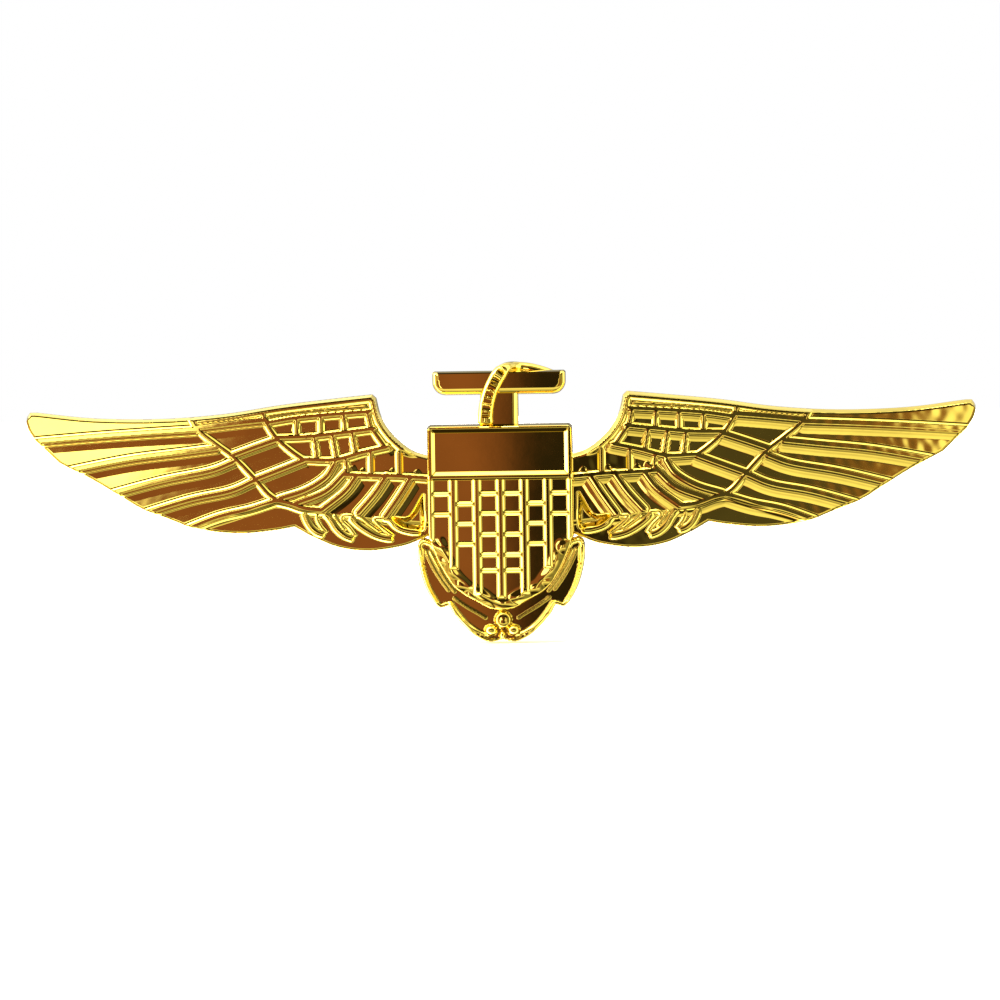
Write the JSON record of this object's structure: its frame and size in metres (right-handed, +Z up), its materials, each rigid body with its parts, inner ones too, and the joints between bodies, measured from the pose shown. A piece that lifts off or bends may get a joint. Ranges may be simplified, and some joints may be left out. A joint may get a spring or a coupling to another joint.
{
  "type": "pilot wings pin",
  "caption": "Metal pilot wings breast badge: spread wings behind a ribbed shield and fouled anchor, worn on posts held by spring clutches.",
  "frame": {"origin": "middle of the flat back of the badge, in the blank cartouche on the web behind the shield", "axes": "+X to the viewer's right along the wings, +Y out of the back towards the wearer, +Z up; the face looks along -Y"},
  "size_m": [0.07, 0.0116, 0.0206],
  "materials": {
    "wing_gold": "polished gold plate on struck brass",
    "anchor_gold": "polished gold plate",
    "rope_gold": "polished gold plate, chased",
    "shield_gold": "polished gold plate",
    "rivet_brass": "peened brass",
    "post_metal": "drawn wire, plated",
    "clutch_brass": "pressed brass, bright",
    "clip_spring": "spring brass strip, bright"
  },
  "bodies": {
    "badge": {"wing_plate": "wing_gold", "anchor": "anchor_gold", "anchor_rope": "rope_gold", "shield": "shield_gold", "rivet_upper": "rivet_brass", "rivet_lower": "rivet_brass", "post_left": "post_metal", "post_centre": "post_metal", "post_right": "post_metal"},
    "clutch_left": {"clutch_left_base": "clutch_brass", "clutch_left_cap": "clutch_brass"},
    "clutch_left_a": {"clutch_left_lever_a": "clip_spring"},
    "clutch_left_b": {"clutch_left_lever_b": "clip_spring"},
    "clutch_centre": {"clutch_centre_base": "clutch_brass", "clutch_centre_cap": "clutch_brass"},
    "clutch_centre_a": {"clutch_centre_lever_a": "clip_spring"},
    "clutch_centre_b": {"clutch_centre_lever_b": "clip_spring"},
    "clutch_right": {"clutch_right_base": "clutch_brass", "clutch_right_cap": "clutch_brass"},
    "clutch_right_a": {"clutch_right_lever_a": "clip_spring"},
    "clutch_right_b": {"clutch_right_lever_b": "clip_spring"}
  },
  "joints": [
    {"name": "left_slide", "type": "slide", "parent": "badge", "child": "clutch_left", "axis": [0, 1, 0], "range_m": [-0.0017, 0.0075]},
    {"name": "left_squeeze", "type": "hinge", "parent": "clutch_left", "child": "clutch_left_b", "pos_m": [-0.01005, 0.004, 0.0007], "axis": [0, 0, 1], "range_deg": [0, 14], "stiffness_Nm_per_rad": 0.0001},
    {"name": "left_squeeze_a", "type": "hinge", "parent": "clutch_left", "child": "clutch_left_a", "pos_m": [-0.01495, 0.004, 0.0007], "axis": [0, 0, 1], "range_deg": [-14, 0]},
    {"name": "centre_slide", "type": "slide", "parent": "badge", "child": "clutch_centre", "axis": [0, 1, 0], "range_m": [-0.0017, 0.0075]},
    {"name": "centre_squeeze", "type": "hinge", "parent": "clutch_centre", "child": "clutch_centre_b", "pos_m": [0.00245, 0.004, -0.0026], "axis": [0, 0, 1], "range_deg": [0, 14], "stiffness_Nm_per_rad": 0.0001},
    {"name": "centre_squeeze_a", "type": "hinge", "parent": "clutch_centre", "child": "clutch_centre_a", "pos_m": [-0.00245, 0.004, -0.0026], "axis": [0, 0, 1], "range_deg": [-14, 0]},
    {"name": "right_slide", "type": "slide", "parent": "badge", "child": "clutch_right", "axis": [0, 1, 0], "range_m": [-0.0017, 0.0075]},
    {"name": "right_squeeze", "type": "hinge", "parent": "clutch_right", "child": "clutch_right_b", "pos_m": [0.01495, 0.004, 0.0007], "axis": [0, 0, 1], "range_deg": [0, 14], "stiffness_Nm_per_rad": 0.0001},
    {"name": "right_squeeze_a", "type": "hinge", "parent": "clutch_right", "child": "clutch_right_a", "pos_m": [0.01005, 0.004, 0.0007], "axis": [0, 0, 1], "range_deg": [-14, 0]}
  ],
  "couplings": [
    {"joint": "left_squeeze_a", "follows": "left_squeeze", "ratio": -1},
    {"joint": "centre_squeeze_a", "follows": "centre_squeeze", "ratio": -1},
    {"joint": "right_squeeze_a", "follows": "right_squeeze", "ratio": -1}
  ]
}
